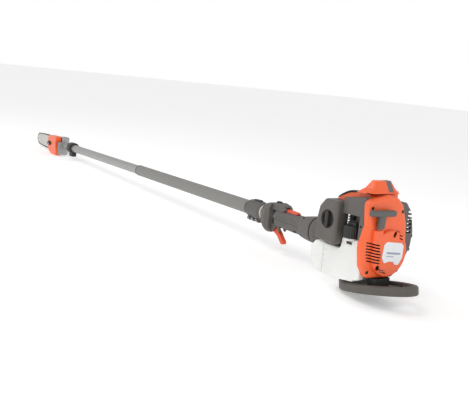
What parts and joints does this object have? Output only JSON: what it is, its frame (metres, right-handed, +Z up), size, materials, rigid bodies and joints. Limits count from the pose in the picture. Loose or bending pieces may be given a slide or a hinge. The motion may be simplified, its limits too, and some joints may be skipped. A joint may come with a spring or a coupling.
{
  "type": "telescoping pole saw",
  "caption": "Engine-powered telescoping pole saw: rear powerhead on a skid guard, throttle grip, sliding two-tube mast with a clamp, and a chainsaw head on a bevel gearbox.",
  "frame": {"origin": "middle of the bottom of the bounding box, on the ground that the impact guard and the saw head rest on", "axes": "+X along the machine towards the powerhead, the saw head at -X, +Z up; the air filter, fuel cap and guide bar are on the -Y side and the muffler is on the +Y side"},
  "size_m": [2.763, 0.221, 0.291],
  "materials": {
    "orange_plastic": "moulded, satin gloss",
    "dark_plastic": "fine texture",
    "handle_plastic": "fine texture",
    "black_plastic": "satin",
    "tank_plastic": "translucent, satin",
    "guard_plastic": "fine texture",
    "trigger_plastic": "satin",
    "tube_coating": "anodised, satin",
    "inner_tube_metal": "brushed",
    "grip_sleeve": "matt foam rubber",
    "cast_aluminium": "as cast",
    "steel": "ground",
    "bar_steel": "brushed",
    "chain_steel": "oiled",
    "decal_film": "plain film",
    "filter_foam": "open foam",
    "rope": "braided",
    "rubber": "matt",
    "nylon": "natural"
  },
  "bodies": {
    "powerhead": {"starter_housing": "orange_plastic", "housing_decal": "decal_film", "housing_screws": "steel", "starter_rope": "rope", "crankcase": "cast_aluminium", "cylinder": "cast_aluminium", "piston": "cast_aluminium", "connecting_rod": "steel", "ignition_coil": "black_plastic", "spark_plug": "steel", "plug_boot": "rubber", "cylinder_cover": "orange_plastic", "cover_insert": "dark_plastic", "muffler": "steel", "muffler_guard": "dark_plastic", "intake_housing": "dark_plastic", "air_filter_cover": "dark_plastic", "air_filter_element": "filter_foam", "carburettor": "cast_aluminium", "fuel_tank": "tank_plastic", "impact_guard": "guard_plastic", "guard_bracket": "black_plastic", "clutch_housing": "dark_plastic", "coupling_ring": "rubber", "handle_left": "handle_plastic", "handle_right": "handle_plastic", "handle_pins": "steel", "inner_tube": "inner_tube_metal", "shaft_bushes": "nylon", "guide_bush": "nylon"},
    "starter_pulley": {"starter_pulley": "black_plastic"},
    "starter_grip": {"starter_grip": "handle_plastic"},
    "crank": {"crankshaft": "steel", "flywheel": "cast_aluminium", "clutch_shoes": "steel"},
    "lower_shaft": {"clutch_drum": "steel", "lower_drive_shaft": "steel"},
    "mast": {"outer_tube": "tube_coating", "grip_sleeve": "grip_sleeve", "clamp_bush": "nylon", "clamp_body": "handle_plastic", "clamp_bolts": "steel", "front_collar": "black_plastic", "gear_housing": "cast_aluminium", "guide_bar": "bar_steel", "saw_chain": "chain_steel", "head_cover": "orange_plastic", "bar_nuts": "steel", "oil_tank": "tank_plastic"},
    "clamp_lever": {"clamp_lever": "black_plastic"},
    "upper_shaft": {"upper_drive_shaft": "steel"},
    "sprocket": {"bevel_gear_shaft": "steel", "drive_sprocket": "steel"},
    "oil_cap": {"oil_cap": "black_plastic"},
    "fuel_cap": {"fuel_cap": "dark_plastic"},
    "air_filter_knob": {"air_filter_knob": "black_plastic"},
    "primer_bulb": {"primer_bulb": "rubber"},
    "throttle_trigger": {"throttle_trigger": "trigger_plastic"},
    "throttle_lockout": {"throttle_lockout": "trigger_plastic"},
    "stop_switch": {"stop_switch": "black_plastic"}
  },
  "joints": [
    {"name": "mast_slide", "type": "slide", "parent": "powerhead", "child": "mast", "axis": [-0.9995, 0, -0.0308], "range_m": [0, 1.25]},
    {"name": "starter_pull", "type": "slide", "parent": "powerhead", "child": "starter_grip", "axis": [0.0216, 0, 0.9998], "range_m": [0, 0.7], "stiffness_N_per_m": 15, "springref_m": -0.25, "deforming": ["starter_rope"]},
    {"name": "starter_pulley_spin", "type": "hinge", "parent": "powerhead", "child": "starter_pulley", "pos_m": [1.2819, -0.0175, 0.12606], "axis": [0.9995, 0, 0.0308], "range_deg": [-1300, 0]},
    {"name": "crank_spin", "type": "hinge", "parent": "powerhead", "child": "crank", "pos_m": [1.20044, -0.0175, 0.12355], "axis": [0.9995, 0, 0.0308], "continuous": true},
    {"name": "lower_shaft_spin", "type": "hinge", "parent": "powerhead", "child": "lower_shaft", "pos_m": [0.29087, -0.0175, 0.09556], "axis": [0.9995, 0, 0.0308], "continuous": true},
    {"name": "upper_shaft_spin", "type": "hinge", "parent": "mast", "child": "upper_shaft", "pos_m": [-0.20889, -0.0175, 0.08018], "axis": [0.9995, 0, 0.0308], "continuous": true},
    {"name": "sprocket_spin", "type": "hinge", "parent": "mast", "child": "sprocket", "pos_m": [-1.0305, -0.0175, 0.05489], "axis": [0, 1, 0], "continuous": true},
    {"name": "clamp_lever_open", "type": "hinge", "parent": "mast", "child": "clamp_lever", "pos_m": [0.73588, -0.0175, 0.13477], "axis": [0, -1, 0], "range_deg": [0, 85]},
    {"name": "oil_cap_turn", "type": "hinge", "parent": "mast", "child": "oil_cap", "pos_m": [-1.02547, 0.0185, 0.02153], "axis": [0, 1, 0], "range_deg": [0, 180]},
    {"name": "fuel_cap_turn", "type": "hinge", "parent": "powerhead", "child": "fuel_cap", "pos_m": [1.2192, -0.0795, 0.16415], "axis": [-0.0308, 0, 0.9995], "range_deg": [0, 270]},
    {"name": "air_filter_knob_turn", "type": "hinge", "parent": "powerhead", "child": "air_filter_knob", "pos_m": [1.15762, -0.1035, 0.18227], "axis": [0, -1, 0], "range_deg": [0, 90]},
    {"name": "primer_press", "type": "slide", "parent": "powerhead", "child": "primer_bulb", "axis": [0, 1, 0], "range_m": [0, 0.003], "stiffness_N_per_m": 300, "springref_m": -0.002},
    {"name": "throttle_trigger_squeeze", "type": "hinge", "parent": "powerhead", "child": "throttle_trigger", "pos_m": [0.85159, -0.0175, 0.0808], "axis": [0, -1, 0], "range_deg": [0, 22], "stiffness_Nm_per_rad": 0.3, "springref_deg": -22.92},
    {"name": "throttle_lockout_press", "type": "hinge", "parent": "powerhead", "child": "throttle_lockout", "pos_m": [0.891, -0.0175, 0.13304], "axis": [0, 1, 0], "range_deg": [0, 5], "stiffness_Nm_per_rad": 0.5, "springref_deg": -17.19},
    {"name": "stop_switch_slide", "type": "slide", "parent": "powerhead", "child": "stop_switch", "axis": [0.9995, 0, 0.0308], "range_m": [0, 0.008]}
  ],
  "couplings": [
    {"joint": "starter_pulley_spin", "follows": "starter_pull", "rad_per_m": -32.258},
    {"joint": "upper_shaft_spin", "follows": "lower_shaft_spin", "ratio": 1},
    {"joint": "sprocket_spin", "follows": "lower_shaft_spin", "ratio": -0.77778}
  ]
}
